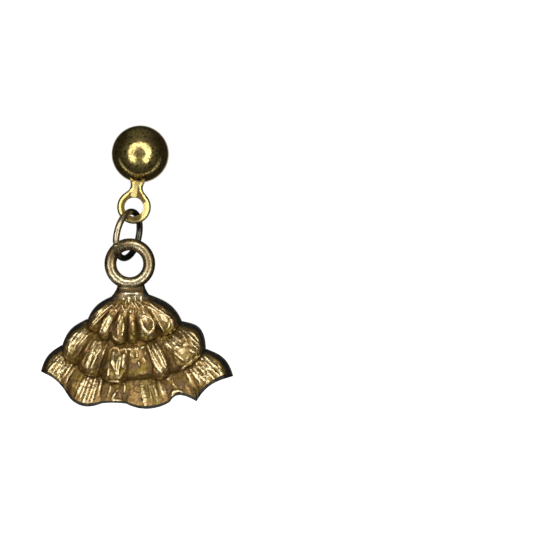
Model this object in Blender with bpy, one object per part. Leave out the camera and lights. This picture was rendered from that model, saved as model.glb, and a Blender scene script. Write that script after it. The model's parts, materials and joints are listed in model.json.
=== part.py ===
"""Dangle earring: a ball stud with a drop loop, a jump ring and a cast ruffled drop.

Metres, +Z up, with the front towards -Y. The origin is where the post leaves the
back of the ball, against the ear lobe, and the post runs along +Y.
"""

from collections import namedtuple
from math import cos, pi, radians, sin, sqrt

import bmesh
import bpy
from mathutils import Matrix, Vector

MM = 0.001

# Ball stud
BALL_DIAMETER = 6.0 * MM
POST_DIAMETER = 0.8 * MM
POST_LENGTH = 11.0 * MM
POST_TIP_CHAMFER = 0.2 * MM
STUD_TURN = radians(7.6)  # the stud is turned a little on its post

# Drop loop: flat stamped metal soldered behind the ball
LOOP_HOLE = 1.98 * MM
LOOP_BAND = 0.79 * MM
LOOP_THICKNESS = 0.6 * MM
LOOP_EDGE = 0.15 * MM
LOOP_NECK_LENGTH = 0.78 * MM
LOOP_NECK_WIDTH = 1.28 * MM
LOOP_PAD_WIDTH = 2.6 * MM  # what is soldered to the ball
LOOP_PAD_LAP = 0.75 * MM  # how far the pad runs up behind the ball
LOOP_JOIN = radians(42)  # where the neck's sides leave the band, from the neck's middle
LOOP_SETBACK = 1.35 * MM  # behind the ball's centre

# Jump ring: round wire, cut once
JUMP_WIRE = 0.7 * MM
JUMP_INSIDE = 4.27 * MM
JUMP_CUT = 0.15 * MM
JUMP_STEPS = 32
JUMP_LEAN = radians(11.8)  # its foot hangs to the left
JUMP_TURN = radians(24.4)  # off edge-on, with the left limb in front
JUMP_CUT_ANGLE = radians(113)  # from the top, down the left limb

# How the three pieces hang in each other
HANG_GAP = 0.12 * MM
LOOP_CONTACT = radians(15)  # left of the loop's lowest point
RING_CONTACT = radians(50)  # left of the drop's ring top

# Drop: ring, collar and skirt, cast in one
RING_WIRE = 1.28 * MM
RING_INSIDE = 2.8 * MM
RING_HEIGHT = 1.5 * MM  # the ring's middle plane above the flat back
COLLAR_TOP_WIDTH = 3.1 * MM
COLLAR_FOOT_WIDTH = 4.3 * MM
COLLAR_DEPTH = 2.3 * MM
COLLAR_HEIGHT = 0.9 * MM  # between the ring and the skirt
COLLAR_LAP = 0.15 * MM  # over the skirt's top edge
COLLAR_EDGE = 0.25 * MM
SKIRT_TOP = 1.3 * MM  # where the pleats start, from the point that they fan out from
SKIRT_LENGTH = 12.9 * MM  # from that point to the mean hem
SKIRT_DEPTH = 3.3 * MM
SKIRT_SHIFT = 0.12 * MM  # the fan's point sits right of the ring's centre
SIDE_RIM = 0.8 * MM
SIDE_ROUND = 0.95 * MM
TIER_STEP = 0.08 * MM
CREST_AT = 0.6  # share of the way down a puffed tier
UNDERCUT_POWER = 2.5  # how late a puffed tier turns under, below its crest
HEM_ROUND = 0.25 * MM
FOLD_SWELL = 0.8 * MM
FOLD_LEVEL = 0.5  # share of FOLD_SWELL that lies below the plain skirt
FOLD_POWER = 0.65  # below 1 makes the swells full and their valleys sharp
FLARE_GATHER = 0.35  # share of the folds left at the top of the flounce
PLEAT_DEPTH = 0.1 * MM
DOME_DROP = 0.2  # share of the height lost from the middle to the sides
HOLLOW_TOP_DEPTH = 0.8 * MM
HOLLOW_HEM_DEPTH = 1.3 * MM
HOLLOW_SIDE_WALL = 1.15 * MM
HOLLOW_TOP_WALL = 2.1 * MM
HOLLOW_ROUND = 1.6 * MM
HOLLOW_REACH = 1.25  # times SKIRT_LENGTH, out past the longest hem

# Angles are in degrees either side of straight down. Heights are shares of
# SKIRT_DEPTH and hems shares of SKIRT_LENGTH. Each tier's edges swell outwards
# between its top and its hem.
Tier = namedtuple(
    "Tier",
    "left_top left_swell left_hem right_top right_swell right_hem top crest hem flared",
)
Fold = namedtuple("Fold", "start end swell pleats hem_start hem_middle hem_end")

WAIST = Tier(58, 6.5, 52, 60, 7, 55, 0.60, 0.84, 0.72, False)
MIDDLE = Tier(53, 3.2, 49, 54.5, 5.8, 50, 0.52, 0.94, 0.82, False)
FLOUNCE = Tier(49.5, 2.0, 46.5, 49.5, 2.8, 48.3, 0.58, 0.82, 1.00, True)

# Starts and ends are shares of the tier from its left edge to its right edge.
WAIST_FOLDS = (
    Fold(0.000, 0.163, 0.9, 2, 0.455, 0.485, 0.470),
    Fold(0.163, 0.298, 0.9, 2, 0.470, 0.490, 0.465),
    Fold(0.298, 0.453, 1.0, 3, 0.465, 0.480, 0.455),
    Fold(0.453, 0.563, 0.6, 2, 0.455, 0.468, 0.452),
    Fold(0.563, 0.767, 1.0, 4, 0.452, 0.468, 0.472),
    Fold(0.767, 1.000, 0.9, 3, 0.472, 0.508, 0.500),
)
MIDDLE_FOLDS = (
    Fold(0.000, 0.158, 0.9, 3, 0.750, 0.790, 0.780),
    Fold(0.158, 0.312, 0.9, 3, 0.780, 0.806, 0.782),
    Fold(0.312, 0.475, 1.0, 3, 0.782, 0.800, 0.772),
    Fold(0.475, 0.620, 0.2, 3, 0.772, 0.772, 0.772),
    Fold(0.620, 0.738, 0.9, 3, 0.772, 0.798, 0.782),
    Fold(0.738, 1.000, 1.0, 5, 0.782, 0.806, 0.795),
)
FLOUNCE_FOLDS = (
    Fold(0.000, 0.180, 0.9, 4, 1.020, 0.978, 1.030),
    Fold(0.180, 0.344, 0.9, 4, 1.030, 1.050, 0.988),
    Fold(0.344, 0.471, -0.2, 2, 0.988, 0.962, 0.962),
    Fold(0.471, 0.688, 0.9, 5, 0.962, 1.010, 1.000),
    Fold(0.688, 0.804, -0.2, 2, 1.000, 0.978, 1.085),
    Fold(0.804, 1.000, 1.0, 5, 1.085, 1.040, 1.116),
)
TIERS = ((WAIST, WAIST_FOLDS), (MIDDLE, MIDDLE_FOLDS), (FLOUNCE, FLOUNCE_FOLDS))

# Rows of the relief down one tier, closer together where it turns
TIER_ROWS = (0.0, 0.1, 0.25, 0.42, 0.6, 0.76, 0.88, 0.96, 1.0)
NECK_ROWS = (0.25, 0.5, 0.75, 1.0)
PAD_ROWS = (0.33, 0.67, 1.0)
RELIEF_COLUMNS = 120
HOLLOW_COLUMNS = 44
HOLLOW_ROWS = 14

# Where each piece sits, worked out down the chain
BALL_RADIUS = BALL_DIAMETER / 2
BALL_CENTRE = Vector((0, -BALL_RADIUS, 0))
HANG_PLANE = BALL_CENTRE.y + LOOP_SETBACK
LOOP_OUTER = LOOP_HOLE / 2 + LOOP_BAND
LOOP_MIDDLE = (LOOP_HOLE + LOOP_BAND) / 2
LOOP_DROP = BALL_RADIUS + LOOP_NECK_LENGTH + LOOP_OUTER
JUMP_RADIUS = (JUMP_INSIDE + JUMP_WIRE) / 2
RING_RADIUS = (RING_INSIDE + RING_WIRE) / 2
RING_OUTER = RING_RADIUS + RING_WIRE / 2


def hanging(angle, distance):
    """A step of this length, the angle left of straight down."""
    return Vector((-sin(angle), 0, -cos(angle))) * distance


LOOP_CENTRE = Vector((0, HANG_PLANE, 0)) + hanging(STUD_TURN, LOOP_DROP)
LOOP_SEAT = LOOP_CENTRE + hanging(LOOP_CONTACT, LOOP_MIDDLE)
JUMP_TOP = LOOP_SEAT - hanging(LOOP_CONTACT, (LOOP_BAND + JUMP_WIRE) / 2 + HANG_GAP)
JUMP_CENTRE = JUMP_TOP + hanging(JUMP_LEAN, JUMP_RADIUS)
JUMP_FOOT = JUMP_TOP + hanging(JUMP_LEAN, 2 * JUMP_RADIUS)
RING_SEAT = JUMP_FOOT - hanging(-RING_CONTACT, (JUMP_WIRE + RING_WIRE) / 2 + HANG_GAP)
RING_CENTRE = RING_SEAT + hanging(-RING_CONTACT, RING_RADIUS)
SKIRT_BACK = HANG_PLANE + RING_HEIGHT
FAN_POINT = Vector(
    (
        RING_CENTRE.x + SKIRT_SHIFT,
        SKIRT_BACK,
        RING_CENTRE.z - RING_OUTER - COLLAR_HEIGHT + SKIRT_TOP,
    )
)


def clear_scene():
    for obj in list(bpy.data.objects):
        bpy.data.objects.remove(obj)


def new_collection(name):
    collection = bpy.data.collections.new(name)
    bpy.context.scene.collection.children.link(collection)
    return collection


def metal(name, colour, roughness):
    material = bpy.data.materials.new(name)
    material.use_nodes = True
    shader = material.node_tree.nodes["Principled BSDF"]
    shader.inputs["Base Color"].default_value = (*colour, 1)
    shader.inputs["Metallic"].default_value = 1
    shader.inputs["Roughness"].default_value = roughness
    return material


def mesh_object(name, mesh, collection, material=None):
    obj = bpy.data.objects.new(name, mesh)
    if material:
        mesh.materials.append(material)
    collection.objects.link(obj)
    return obj


def from_bmesh(name, shape, collection, material=None):
    mesh = bpy.data.meshes.new(name)
    shape.to_mesh(mesh)
    shape.free()
    return mesh_object(name, mesh, collection, material)


def pivot(name, place, collection, parent=None):
    """An empty on a joint's axis, which carries the piece that turns there."""
    empty = bpy.data.objects.new(name, None)
    empty.empty_display_size = MM
    collection.objects.link(empty)
    hang_on(empty, place, parent)
    return empty


def hang_on(obj, place, parent):
    """Puts an object at a place, given from the origin, under its parent."""
    obj.parent = parent
    while parent:
        place = place - parent.location
        parent = parent.parent
    obj.location = place


def helper(obj):
    """Marks an object that only feeds a Boolean."""
    obj.hide_render = True
    obj.display_type = "WIRE"
    return obj


def boolean(obj, operation, other):
    modifier = obj.modifiers.new(operation.title() + " " + other.name, "BOOLEAN")
    modifier.operation = operation
    modifier.object = other


def shade_round(obj):
    obj.data.shade_smooth()
    obj.data.set_sharp_from_angle(angle=radians(40))


def welded_mesh_of(curve_object, collection):
    """The curve as a welded mesh object in the same place. The curve is removed."""
    graph = bpy.context.evaluated_depsgraph_get()
    mesh = bpy.data.meshes.new_from_object(curve_object.evaluated_get(graph))
    shape = bmesh.new()
    shape.from_mesh(mesh)
    bmesh.ops.remove_doubles(shape, verts=shape.verts, dist=0.001 * MM)
    bmesh.ops.recalc_face_normals(shape, faces=shape.faces)
    shape.to_mesh(mesh)
    shape.free()
    obj = mesh_object(curve_object.name + " mesh", mesh, collection)
    obj.matrix_world = curve_object.matrix_world
    bpy.data.objects.remove(curve_object)
    return obj


def add_outline(curve, points):
    spline = curve.splines.new("POLY")
    spline.points.add(len(points) - 1)
    for point, (x, y) in zip(spline.points, points):
        point.co = (x, y, 0, 1)
    spline.use_cyclic_u = True


def arc(radius, start, end, count):
    """Points on a circle, with the angles measured from +Y towards +X."""
    angles = [start + (end - start) * i / (count - 1) for i in range(count)]
    return [(radius * sin(angle), radius * cos(angle)) for angle in angles]


def drop_loop_outline():
    """Loop and neck about the loop's centre, with the ball towards +Y."""
    join_x, join_y = LOOP_OUTER * sin(LOOP_JOIN), LOOP_OUTER * cos(LOOP_JOIN)
    half_neck, half_pad = LOOP_NECK_WIDTH / 2, LOOP_PAD_WIDTH / 2
    waist_y = LOOP_OUTER + LOOP_NECK_LENGTH / 2
    pad_y = LOOP_OUTER + LOOP_NECK_LENGTH + LOOP_PAD_LAP
    side = []
    for share in NECK_ROWS:
        width = half_neck + (join_x - half_neck) * (1 - share) ** 2
        side.append((width, join_y + (waist_y - join_y) * share))
    for share in PAD_ROWS:
        width = half_neck + (half_pad - half_neck) * share**2
        side.append((width, waist_y + (pad_y - waist_y) * share))
    right = arc(LOOP_OUTER, pi, LOOP_JOIN, 20) + side
    left = [(-x, y) for x, y in reversed(right[1:])]
    return right + left


def make_drop_loop(collection):
    curve = bpy.data.curves.new("drop loop", "CURVE")
    curve.dimensions = "2D"
    curve.fill_mode = "BOTH"
    curve.extrude = LOOP_THICKNESS / 2 - LOOP_EDGE
    curve.bevel_depth = LOOP_EDGE
    curve.bevel_resolution = 1
    curve.offset = -LOOP_EDGE
    add_outline(curve, drop_loop_outline())
    add_outline(curve, arc(LOOP_HOLE / 2, 0, 2 * pi, 25)[:-1])
    flat = bpy.data.objects.new("drop loop", curve)
    collection.objects.link(flat)
    stood_up = Matrix.Rotation(pi / 2, 4, "X")
    turned = Matrix.Rotation(STUD_TURN, 4, "Y")
    flat.matrix_world = Matrix.Translation(LOOP_CENTRE) @ turned @ stood_up
    bpy.context.view_layer.update()
    return helper(welded_mesh_of(flat, collection))


def make_ear_post(collection):
    start = BALL_CENTRE.y
    length = POST_LENGTH - start
    shape = bmesh.new()
    bmesh.ops.create_cone(
        shape,
        cap_ends=True,
        segments=16,
        radius1=POST_DIAMETER / 2,
        radius2=POST_DIAMETER / 2,
        depth=length,
    )
    tip = [edge for edge in shape.edges if all(v.co.z > 0 for v in edge.verts)]
    bmesh.ops.bevel(
        shape, geom=tip, offset=POST_TIP_CHAMFER, segments=2, profile=0.5, affect="EDGES"
    )
    post = helper(from_bmesh("ear post", shape, collection))
    along_y = Matrix.Rotation(-pi / 2, 4, "X")
    post.matrix_world = Matrix.Translation((0, start + length / 2, 0)) @ along_y
    return post


def make_ball_stud(parts, helpers):
    shape = bmesh.new()
    bmesh.ops.create_uvsphere(shape, u_segments=40, v_segments=22, radius=BALL_RADIUS)
    stud = from_bmesh("ball_stud", shape, parts, metal("stud brass", (0.50, 0.36, 0.12), 0.25))
    stud.location = BALL_CENTRE
    boolean(stud, "UNION", make_drop_loop(helpers))
    boolean(stud, "UNION", make_ear_post(helpers))
    shade_round(stud)
    return stud


def make_jump_ring(parts, swing):
    up = -hanging(JUMP_LEAN, 1)
    level = Vector((-up.z, 0, up.x))
    limb = level * sin(JUMP_TURN) - Vector((0, 1, 0)) * cos(JUMP_TURN)
    half_cut = JUMP_CUT / JUMP_RADIUS / 2
    curve = bpy.data.curves.new("jump_ring", "CURVE")
    curve.dimensions = "3D"
    curve.bevel_depth = JUMP_WIRE / 2
    curve.bevel_resolution = 3
    curve.use_fill_caps = True
    spline = curve.splines.new("POLY")
    spline.points.add(JUMP_STEPS)
    start = JUMP_CUT_ANGLE + half_cut
    turn = 2 * pi - 2 * half_cut
    for i, point in enumerate(spline.points):
        angle = start + turn * i / JUMP_STEPS
        place = (up * cos(angle) + limb * sin(angle)) * JUMP_RADIUS
        point.co = (*place, 1)
    ring = bpy.data.objects.new("jump_ring", curve)
    curve.materials.append(metal("blackened brass", (0.16, 0.12, 0.07), 0.35))
    parts.objects.link(ring)
    hang_on(ring, JUMP_CENTRE, swing)
    return ring


def edge_angles(tier, down):
    """The tier's left and right edges this share of the way down it, in radians."""
    swell = sin(pi * down)
    left = tier.left_top + (tier.left_hem - tier.left_top) * down + tier.left_swell * swell
    right = tier.right_top + (tier.right_hem - tier.right_top) * down + tier.right_swell * swell
    return -radians(left), radians(right)


def fold_at(folds, across):
    """The fold that holds this share across, and how far across the fold it lies."""
    for fold in folds:
        if across <= fold.end:
            break
    return fold, min(1, max(0, (across - fold.start) / (fold.end - fold.start)))


def hem_radius(folds, across):
    fold, inside = fold_at(folds, across)
    share = (
        fold.hem_start * (1 - inside) * (1 - 2 * inside)
        + fold.hem_middle * 4 * inside * (1 - inside)
        + fold.hem_end * inside * (2 * inside - 1)
    )
    return share * SKIRT_LENGTH


def top_radius(number, across):
    if number == 0:
        return SKIRT_TOP
    return hem_radius(TIERS[number - 1][1], across) + TIER_STEP


def tier_height(tier, down):
    """Height of the plain skirt down one tier: puffed, or flaring out to the hem."""
    if tier.flared:
        top_part = (1 - down) * (1 - 2 * down) * tier.top
        return (top_part + 4 * down * (1 - down) * tier.crest + down * (2 * down - 1) * tier.hem) * SKIRT_DEPTH
    if down < CREST_AT:
        return (tier.top + (tier.crest - tier.top) * sin(pi / 2 * down / CREST_AT)) * SKIRT_DEPTH
    under = (down - CREST_AT) / (1 - CREST_AT)
    return (tier.crest - (tier.crest - tier.hem) * under**UNDERCUT_POWER) * SKIRT_DEPTH


def plain_height(tier, across, down):
    return tier_height(tier, down) * (1 - DOME_DROP * (2 * across - 1) ** 2)


def fold_height(tier, folds, across, down):
    """What the folds and pleats add: rounded swells with a sharp valley between."""
    fold, inside = fold_at(folds, across)
    if tier.flared:
        gather = FLARE_GATHER + (1 - FLARE_GATHER) * down
        pleated = 1
    else:
        gather = sin(pi / 2 * min(1, down / CREST_AT))
        pleated = 1 - down**2
    swell = fold.swell * (1 - (2 * inside - 1) ** 2) ** FOLD_POWER
    pleat = cos(2 * pi * fold.pleats * inside)
    return gather * (FOLD_SWELL * (swell - FOLD_LEVEL) - PLEAT_DEPTH * pleated * pleat)


def rounded(distance, width):
    """Quarter-round from 0 at an edge to 1 this width inside it."""
    return sqrt(1 - (1 - min(1, max(0, distance / width))) ** 2)


def side_distance(across, left, right, radius):
    return min(across, 1 - across) * (right - left) * radius


def relief_point(number, across, down):
    """A point of the skirt's front, from the fan's point and the flat back."""
    tier, folds = TIERS[number]
    left, right = edge_angles(tier, down)
    top = top_radius(number, across)
    radius = top + (hem_radius(folds, across) - top) * down
    height = plain_height(tier, across, down) + fold_height(tier, folds, across, down)
    if tier.flared and down == 1:
        height -= HEM_ROUND
    inward = rounded(side_distance(across, left, right, radius), SIDE_ROUND)
    height = SIDE_RIM + (height - SIDE_RIM) * inward
    angle = left + (right - left) * across
    return Vector((radius * sin(angle), -height, -radius * cos(angle)))


def hollow_point(across, down):
    """A point of the hollow behind the skirt, which runs out below the hem."""
    start = SKIRT_TOP + HOLLOW_TOP_WALL
    radius = start + (HOLLOW_REACH * SKIRT_LENGTH - start) * down
    left, right = edge_angles(FLOUNCE, 0.5)
    inset = HOLLOW_SIDE_WALL / radius
    left, right = left + inset, right - inset
    angle = left + (right - left) * across
    depth = HOLLOW_TOP_DEPTH + (HOLLOW_HEM_DEPTH - HOLLOW_TOP_DEPTH) * down
    depth *= rounded(side_distance(across, left, right, radius), HOLLOW_ROUND)
    depth *= rounded(radius - start, HOLLOW_ROUND)
    return Vector((radius * sin(angle), -depth, -radius * cos(angle)))


def block_from_grid(name, columns, rows, place, back, collection, material=None):
    """A grid laid out by place(column share, row), run back to a flat face at y = back."""
    shape = bmesh.new()
    bmesh.ops.create_grid(shape, x_segments=columns, y_segments=rows, size=1)
    for vert in shape.verts:
        vert.co = place((vert.co.x + 1) / 2, round((vert.co.y + 1) / 2 * rows))
    rim = [edge for edge in shape.edges if edge.is_boundary]
    extruded = bmesh.ops.extrude_edge_only(shape, edges=rim)["geom"]
    for vert in extruded:
        if isinstance(vert, bmesh.types.BMVert):
            vert.co.y = back
    back_edges = [e for e in extruded if isinstance(e, bmesh.types.BMEdge) and e.is_boundary]
    bmesh.ops.contextual_create(shape, geom=back_edges)
    bmesh.ops.recalc_face_normals(shape, faces=shape.faces)
    return from_bmesh(name, shape, collection, material)


def make_skirt(parts, material, swing):
    rows = [(number, down) for number in range(len(TIERS)) for down in TIER_ROWS]

    def place(across, row):
        return relief_point(rows[row][0], across, rows[row][1])

    skirt = block_from_grid(
        "ruffled_drop", RELIEF_COLUMNS, len(rows) - 1, place, 0, parts, material
    )
    hang_on(skirt, FAN_POINT, swing)
    return skirt


def make_hollow(helpers):
    def place(across, row):
        return hollow_point(across, row / HOLLOW_ROWS)

    hollow = block_from_grid(
        "hollow", HOLLOW_COLUMNS, HOLLOW_ROWS, place, HOLLOW_HEM_DEPTH, helpers
    )
    hollow.location = FAN_POINT
    return helper(hollow)


def make_drop_ring(helpers):
    bpy.ops.mesh.primitive_torus_add(
        major_segments=32,
        minor_segments=12,
        major_radius=RING_RADIUS,
        minor_radius=RING_WIRE / 2,
        location=RING_CENTRE,
        rotation=(pi / 2, 0, 0),
    )
    ring = bpy.context.object
    ring.name = "drop ring"
    for collection in ring.users_collection:
        collection.objects.unlink(ring)
    helpers.objects.link(ring)
    return helper(ring)


def make_collar(helpers):
    """Short flared collar between the ring and the skirt, sunk into both."""
    height = RING_WIRE / 2 + COLLAR_HEIGHT + COLLAR_LAP
    shape = bmesh.new()
    bmesh.ops.create_cone(
        shape,
        cap_ends=True,
        segments=32,
        radius1=COLLAR_FOOT_WIDTH / 2,
        radius2=COLLAR_TOP_WIDTH / 2,
        depth=height,
    )
    ends = [edge for edge in shape.edges if edge.verts[0].co.z * edge.verts[1].co.z > 0]
    bmesh.ops.bevel(
        shape, geom=ends, offset=COLLAR_EDGE, segments=2, profile=0.5, affect="EDGES"
    )
    bmesh.ops.scale(shape, vec=(1, COLLAR_DEPTH / COLLAR_FOOT_WIDTH, 1), verts=shape.verts)
    collar = helper(from_bmesh("collar", shape, helpers))
    top = RING_CENTRE.z - RING_OUTER + RING_WIRE / 2
    collar.location = (FAN_POINT.x, HANG_PLANE, top - height / 2)
    return collar


def make_ruffled_drop(parts, helpers, swing):
    drop = make_skirt(parts, metal("antique gold", (0.55, 0.41, 0.18), 0.3), swing)
    boolean(drop, "DIFFERENCE", make_hollow(helpers))
    boolean(drop, "UNION", make_collar(helpers))
    boolean(drop, "UNION", make_drop_ring(helpers))
    shade_round(drop)
    return drop


def main():
    clear_scene()
    parts = new_collection("dangle earring")
    helpers = new_collection("cutters")
    link_swing = pivot("link swing", LOOP_SEAT, parts)
    drop_swing = pivot("drop swing", JUMP_FOOT, parts, link_swing)
    make_ball_stud(parts, helpers)
    make_jump_ring(parts, link_swing)
    make_ruffled_drop(parts, helpers, drop_swing)


main()
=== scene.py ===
# Looks of a dangle earring: ball stud, drop loop, split jump ring and a cast ruffled drop.
import json
from math import cos, pi, radians, sin
import bpy
import numpy as np
from mathutils import Matrix, Vector


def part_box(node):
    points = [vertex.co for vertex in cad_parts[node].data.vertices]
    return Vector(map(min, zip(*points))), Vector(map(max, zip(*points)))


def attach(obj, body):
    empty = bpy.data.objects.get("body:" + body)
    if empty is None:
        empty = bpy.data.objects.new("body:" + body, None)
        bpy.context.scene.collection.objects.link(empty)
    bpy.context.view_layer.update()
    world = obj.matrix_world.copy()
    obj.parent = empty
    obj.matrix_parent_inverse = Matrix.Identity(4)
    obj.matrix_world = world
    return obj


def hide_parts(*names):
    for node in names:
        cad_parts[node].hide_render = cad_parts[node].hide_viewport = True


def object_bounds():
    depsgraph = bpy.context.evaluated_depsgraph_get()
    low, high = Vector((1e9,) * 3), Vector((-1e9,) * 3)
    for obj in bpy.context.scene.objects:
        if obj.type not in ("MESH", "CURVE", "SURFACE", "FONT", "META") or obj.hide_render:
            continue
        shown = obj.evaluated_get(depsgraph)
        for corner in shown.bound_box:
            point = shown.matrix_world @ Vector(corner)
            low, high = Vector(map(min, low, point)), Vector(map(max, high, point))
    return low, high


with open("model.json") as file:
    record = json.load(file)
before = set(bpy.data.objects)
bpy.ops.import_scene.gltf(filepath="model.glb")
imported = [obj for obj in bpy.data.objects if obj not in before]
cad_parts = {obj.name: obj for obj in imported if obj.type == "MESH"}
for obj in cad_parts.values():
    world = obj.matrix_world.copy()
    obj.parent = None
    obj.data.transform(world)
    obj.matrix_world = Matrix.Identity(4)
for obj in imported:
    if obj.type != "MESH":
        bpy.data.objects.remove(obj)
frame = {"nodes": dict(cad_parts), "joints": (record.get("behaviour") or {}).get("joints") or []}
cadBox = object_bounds()
mm = 0.001
jointPlace = {joint["name"]: Vector(joint["pos_m"]) for joint in frame["joints"]}
loopSeat = jointPlace["link_swing"]  # middle of the loop's band, where the jump ring hangs
jumpFoot = jointPlace["drop_swing"]  # middle of the jump ring's wire at its foot
studLow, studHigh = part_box("ball_stud")
dropLow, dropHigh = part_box("ruffled_drop")
hangPlane = loopSeat.y
print("frame loaded:", sorted(frame["nodes"]))


# Helpers for working by hand in edit mode
def editing(on):
    bpy.ops.object.mode_set(mode=("OBJECT", "EDIT")[on])


def deselectAll():
    if bpy.context.object and bpy.context.object.mode != "OBJECT":
        editing(False)
    bpy.ops.object.select_all(action="DESELECT")


def newPiece(name):
    piece = bpy.context.object
    piece.name = name
    piece.data.name = name
    return piece


def focus(piece):
    deselectAll()
    bpy.context.view_layer.objects.active = piece
    piece.select_set(True)


def selectWhere(piece, kind, test):
    # Leaves edit mode open with the faces or edges or points that pass the test selected
    focus(piece)
    editing(True)
    bpy.ops.mesh.select_mode(type=kind)
    bpy.ops.mesh.select_all(action="DESELECT")
    editing(False)
    mesh = piece.data
    items = {"VERT": mesh.vertices, "EDGE": mesh.edges, "FACE": mesh.polygons}[kind]
    for item in items:
        if kind == "VERT":
            item.select = test(item.co)
        elif kind == "EDGE":
            item.select = test((mesh.vertices[item.vertices[0]].co + mesh.vertices[item.vertices[1]].co) / 2)
        else:
            item.select = test(item.center)
    editing(True)


def applyModifier(piece, kind, **settings):
    focus(piece)
    modifier = piece.modifiers.new(kind.title(), kind)
    for key, value in settings.items():
        setattr(modifier, key, value)
    bpy.ops.object.modifier_apply(modifier=modifier.name)


def settle(piece):
    # Place, turn and scale go into the mesh, so the object sits at the origin
    focus(piece)
    bpy.ops.object.transform_apply(location=True, rotation=True, scale=True)


def faceOut(piece):
    focus(piece)
    editing(True)
    bpy.ops.mesh.select_all(action="SELECT")
    bpy.ops.mesh.normals_make_consistent(inside=False)
    editing(False)


def smooth(piece, angle=35):
    focus(piece)
    bpy.ops.object.shade_smooth_by_angle(angle=radians(angle))


def readPoints(piece, key="co"):
    values = np.empty(len(piece.data.vertices) * 3)
    piece.data.vertices.foreach_get(key, values)
    return values.reshape(-1, 3)


# The attribute carries wear and patina together with painted highlights and painted shade
def giveWearAndPaintedLight(piece, values):
    piece.data.attributes.new("wearAndPaintedLight", "FLOAT", "POINT").data.foreach_set("value", values)


def rising(value, start, width):
    # 0 before the start and 1 from a width past it
    return np.clip((value - start) / width, 0, 1)


def falling(value, end, width):
    return rising(-value, -end, width)


def dress(piece, material, body, node):
    piece.data.materials.clear()
    piece.data.materials.append(material)
    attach(piece, body)
    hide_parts(node)


def hanging(angle, distance):
    # A step of this length, the angle left of straight down
    return Vector((-sin(angle), 0, -cos(angle))) * distance


# Node helpers
class Nodes:
    def __init__(self, tree):
        self.tree = tree

    def add(self, kind, **settings):
        node = self.tree.nodes.new(kind)
        for key, value in settings.items():
            setattr(node, key, value)
        return node

    def link(self, source, socket):
        self.tree.links.new(source, socket)

    def fill(self, node, numbers):
        for socket, number in numbers.items():
            node.inputs[socket].default_value = number

    def ramp(self, value, low, high, bottom=0, top=1):
        node = self.add("ShaderNodeMapRange", interpolation_type="SMOOTHSTEP")
        self.fill(node, {"From Min": low, "From Max": high, "To Min": bottom, "To Max": top})
        self.link(value, node.inputs["Value"])
        return node.outputs["Result"]

    def mix(self, factor, first, second):
        node = self.add("ShaderNodeMix", data_type="RGBA")
        self.link(factor, node.inputs["Factor"])
        for socket, colour in ((node.inputs[6], first), (node.inputs[7], second)):
            if isinstance(colour, tuple):
                socket.default_value = (*colour, 1)
            else:
                self.link(colour, socket)
        return node.outputs[2]

    def maths(self, operation, first, second):
        node = self.add("ShaderNodeMath", operation=operation)
        for socket, value in zip(node.inputs, (first, second)):
            if isinstance(value, (int, float)):
                socket.default_value = value
            else:
                self.link(value, socket)
        return node.outputs[0]


class Metal(Nodes):
    def __init__(self, name):
        self.material = bpy.data.materials.new(name)
        self.material.use_nodes = True
        super().__init__(self.material.node_tree)
        self.shader = self.tree.nodes["Principled BSDF"]
        self.place = self.add("ShaderNodeTexCoord").outputs["Object"]

    def noise(self, size, detail, roughness=0.55, distortion=0.0, shift=(0, 0, 0)):
        # Size is that of one blotch, in metres
        mapping = self.add("ShaderNodeMapping")
        self.fill(mapping, {"Scale": (1 / size,) * 3, "Location": shift})
        self.link(self.place, mapping.inputs["Vector"])
        node = self.add("ShaderNodeTexNoise")
        self.fill(node, {"Scale": 1, "Detail": detail, "Roughness": roughness, "Distortion": distortion})
        self.link(mapping.outputs["Vector"], node.inputs["Vector"])
        return node.outputs["Fac"]

    def spread(self, noise, amount):
        # The noise moved to lie either side of nought
        return self.maths("MULTIPLY", self.maths("SUBTRACT", noise, 0.5), amount)

    def attribute(self, name):
        return self.add("ShaderNodeAttribute", attribute_name=name).outputs["Fac"]

    def bump(self, height, distance, strength):
        node = self.add("ShaderNodeBump")
        self.fill(node, {"Distance": distance, "Strength": strength})
        self.link(height, node.inputs["Height"])
        return node.outputs["Normal"]

    def finish(self, colour, roughness, normal, metallic=None):
        self.shader.inputs["Metallic"].default_value = 1.0
        self.link(colour, self.shader.inputs["Base Color"])
        self.link(roughness, self.shader.inputs["Roughness"])
        self.link(normal, self.shader.inputs["Normal"])
        if metallic:
            self.link(metallic, self.shader.inputs["Metallic"])
        return self.material


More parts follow.
